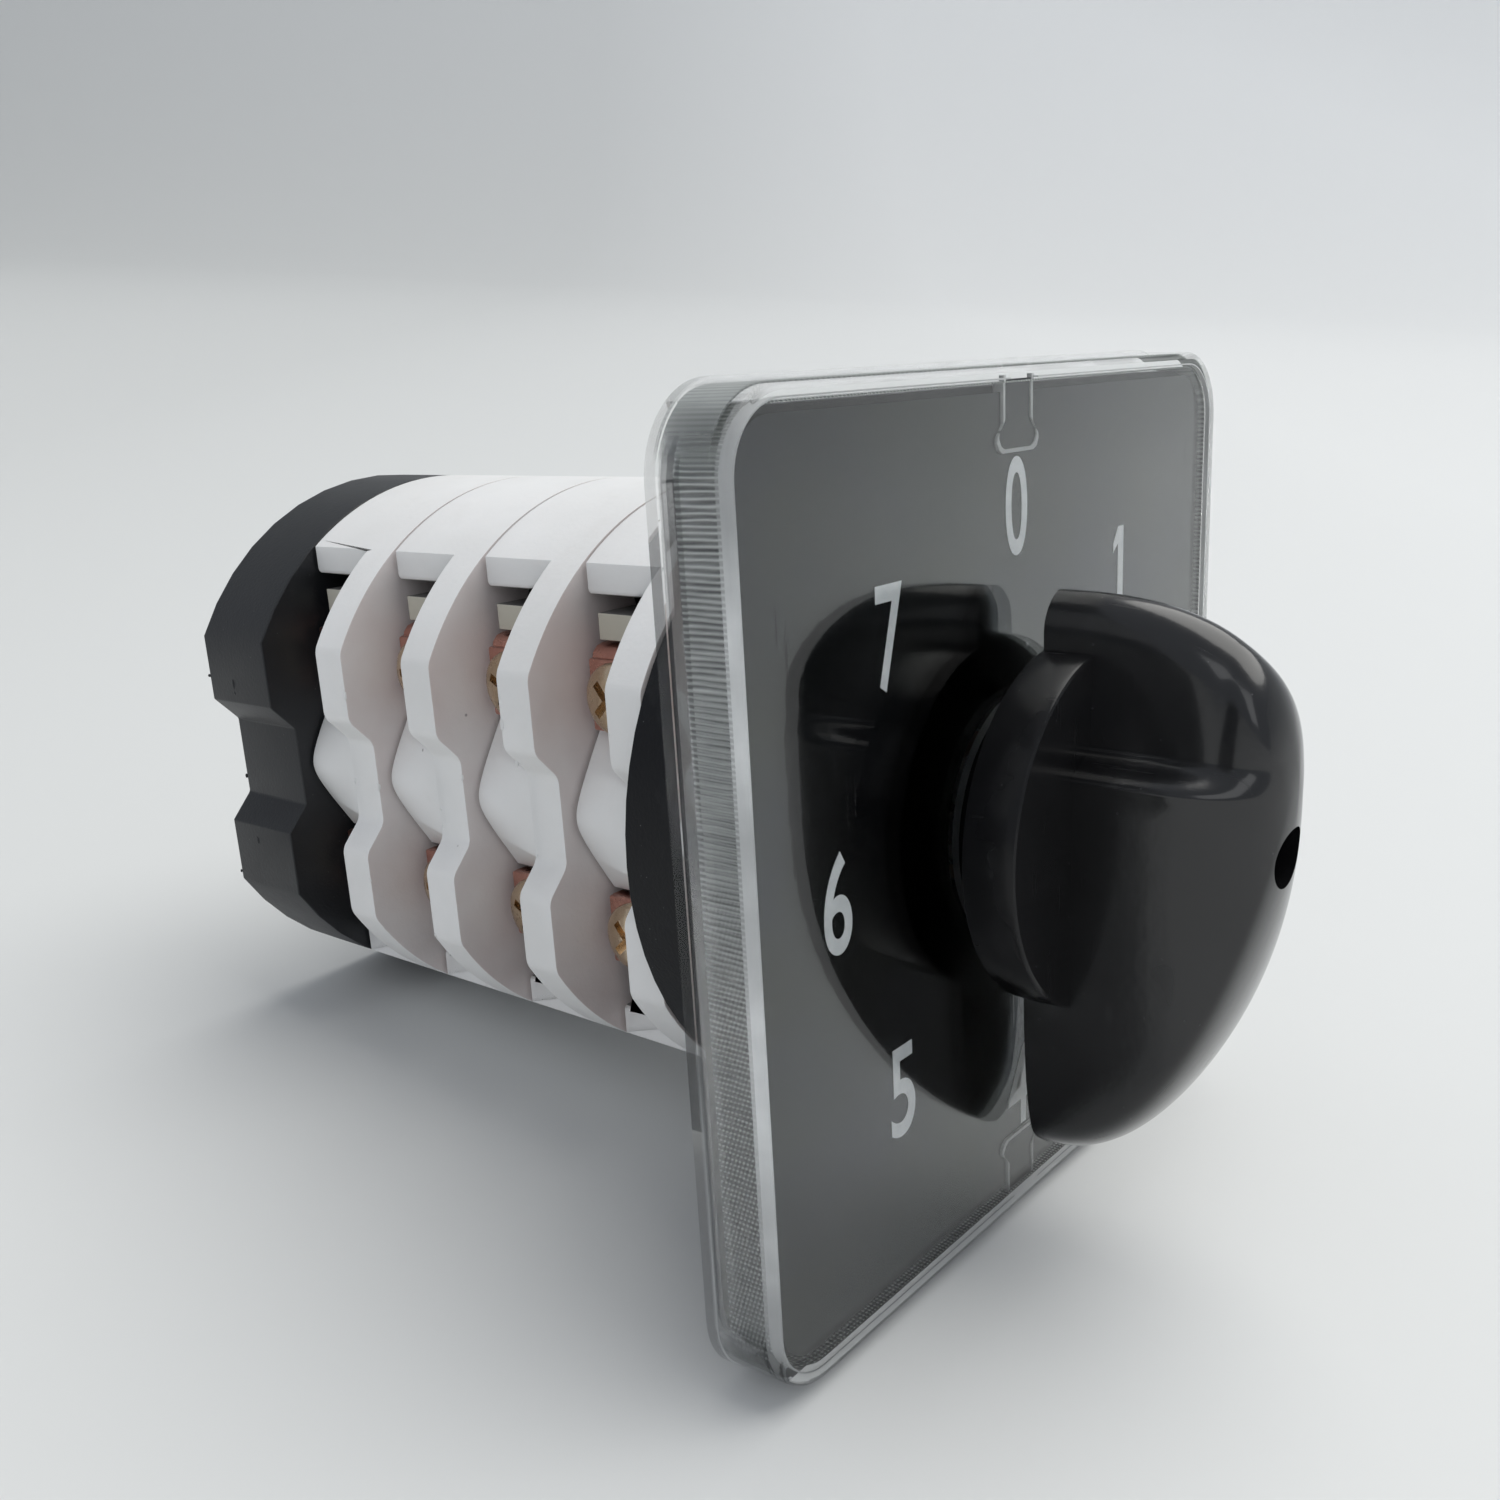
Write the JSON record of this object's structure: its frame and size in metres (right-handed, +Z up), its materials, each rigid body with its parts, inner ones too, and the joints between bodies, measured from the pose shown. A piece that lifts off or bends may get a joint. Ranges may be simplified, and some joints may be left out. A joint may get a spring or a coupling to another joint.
{
  "type": "rotary cam changeover switch",
  "caption": "Panel-mount rotary cam changeover switch: fin handle, square numbered dial under a clear cover, and a stack of round contact sections with screw terminals on both sides.",
  "frame": {"origin": "Under the middle of the overall length, on the plane of the square cover's bottom edge, below the shaft's axis.", "axes": "+Y runs along the shaft from the dial to the rear cap, +X is to the right for someone who faces the dial, +Z is up, towards position 0."},
  "size_m": [0.0634, 0.0914, 0.0634],
  "materials": {
    "knob_black": "glossy black moulding",
    "black_plastic": "satin black moulding",
    "white_plastic": "satin white moulding",
    "clear_plastic": "clear polished plastic",
    "dial_metal": "dark anodised plate",
    "zinc_steel": "zinc-plated steel",
    "copper_brass": "copper-coloured strip",
    "brown_moulding": "brown moulding"
  },
  "bodies": {
    "stack": {"clear_cover": "clear_plastic", "dial_plate": "dial_metal", "mount_plate": "black_plastic", "mount_screw_1": "zinc_steel", "mount_screw_2": "zinc_steel", "detent_housing": "black_plastic", "contact_base_1": "white_plastic", "terminal_1_upper_left": "copper_brass", "terminal_1_upper_right": "copper_brass", "terminal_1_lower_left": "copper_brass", "terminal_1_lower_right": "copper_brass", "contact_base_2": "white_plastic", "terminal_2_upper_left": "copper_brass", "terminal_2_upper_right": "copper_brass", "terminal_2_lower_left": "copper_brass", "terminal_2_lower_right": "copper_brass", "contact_base_3": "white_plastic", "terminal_3_upper_left": "copper_brass", "terminal_3_upper_right": "copper_brass", "terminal_3_lower_left": "copper_brass", "terminal_3_lower_right": "copper_brass", "contact_base_4": "white_plastic", "terminal_4_upper_left": "copper_brass", "terminal_4_upper_right": "copper_brass", "terminal_4_lower_left": "copper_brass", "terminal_4_lower_right": "copper_brass", "rear_cap": "black_plastic", "tie_bolt_1": "zinc_steel", "tie_bolt_2": "zinc_steel", "detent_spring_upper": "zinc_steel", "detent_spring_lower": "zinc_steel", "contact_spring_1_upper": "zinc_steel", "contact_spring_1_lower": "zinc_steel", "contact_spring_2_upper": "zinc_steel", "contact_spring_2_lower": "zinc_steel", "contact_spring_3_upper": "zinc_steel", "contact_spring_3_lower": "zinc_steel", "contact_spring_4_upper": "zinc_steel", "contact_spring_4_lower": "zinc_steel"},
    "rotor": {"knob": "knob_black", "knob_screw": "zinc_steel", "switch_shaft": "zinc_steel", "detent_wheel": "brown_moulding", "cam_1": "brown_moulding", "cam_2": "brown_moulding", "cam_3": "brown_moulding", "cam_4": "brown_moulding"},
    "detent_upper": {"detent_plunger_upper": "brown_moulding"},
    "detent_lower": {"detent_plunger_lower": "brown_moulding"},
    "contact_1_upper": {"moving_contact_1_upper": "brown_moulding"},
    "contact_1_lower": {"moving_contact_1_lower": "brown_moulding"},
    "contact_2_upper": {"moving_contact_2_upper": "brown_moulding"},
    "contact_2_lower": {"moving_contact_2_lower": "brown_moulding"},
    "contact_3_upper": {"moving_contact_3_upper": "brown_moulding"},
    "contact_3_lower": {"moving_contact_3_lower": "brown_moulding"},
    "contact_4_upper": {"moving_contact_4_upper": "brown_moulding"},
    "contact_4_lower": {"moving_contact_4_lower": "brown_moulding"}
  },
  "joints": [
    {"name": "knob_turn", "type": "hinge", "parent": "stack", "child": "rotor", "pos_m": [0, -0.0261, 0.0317], "axis": [0, 1, 0], "range_deg": [0, 315]},
    {"name": "detent_upper_slide", "type": "slide", "parent": "stack", "child": "detent_upper", "axis": [0, 0, 1], "range_m": [0, 0.0014], "stiffness_N_per_m": 600, "springref_m": -0.002, "deforming": ["detent_spring_upper"]},
    {"name": "detent_lower_slide", "type": "slide", "parent": "stack", "child": "detent_lower", "axis": [0, 0, -1], "range_m": [0, 0.0014], "stiffness_N_per_m": 600, "springref_m": -0.002, "deforming": ["detent_spring_lower"]},
    {"name": "contact_1_upper_slide", "type": "slide", "parent": "stack", "child": "contact_1_upper", "axis": [0, 0, 1], "range_m": [0, 0.0016], "stiffness_N_per_m": 500, "springref_m": -0.002, "deforming": ["contact_spring_1_upper"]},
    {"name": "contact_1_lower_slide", "type": "slide", "parent": "stack", "child": "contact_1_lower", "axis": [0, 0, -1], "range_m": [0, 0.0016], "stiffness_N_per_m": 500, "springref_m": -0.002, "deforming": ["contact_spring_1_lower"]},
    {"name": "contact_2_upper_slide", "type": "slide", "parent": "stack", "child": "contact_2_upper", "axis": [0, 0, 1], "range_m": [0, 0.0016], "stiffness_N_per_m": 500, "springref_m": -0.002, "deforming": ["contact_spring_2_upper"]},
    {"name": "contact_2_lower_slide", "type": "slide", "parent": "stack", "child": "contact_2_lower", "axis": [0, 0, -1], "range_m": [0, 0.0016], "stiffness_N_per_m": 500, "springref_m": -0.002, "deforming": ["contact_spring_2_lower"]},
    {"name": "contact_3_upper_slide", "type": "slide", "parent": "stack", "child": "contact_3_upper", "axis": [0, 0, 1], "range_m": [0, 0.0016], "stiffness_N_per_m": 500, "springref_m": -0.002, "deforming": ["contact_spring_3_upper"]},
    {"name": "contact_3_lower_slide", "type": "slide", "parent": "stack", "child": "contact_3_lower", "axis": [0, 0, -1], "range_m": [0, 0.0016], "stiffness_N_per_m": 500, "springref_m": -0.002, "deforming": ["contact_spring_3_lower"]},
    {"name": "contact_4_upper_slide", "type": "slide", "parent": "stack", "child": "contact_4_upper", "axis": [0, 0, 1], "range_m": [0, 0.0016], "stiffness_N_per_m": 500, "springref_m": -0.002, "deforming": ["contact_spring_4_upper"]},
    {"name": "contact_4_lower_slide", "type": "slide", "parent": "stack", "child": "contact_4_lower", "axis": [0, 0, -1], "range_m": [0, 0.0016], "stiffness_N_per_m": 500, "springref_m": -0.002, "deforming": ["contact_spring_4_lower"]}
  ]
}
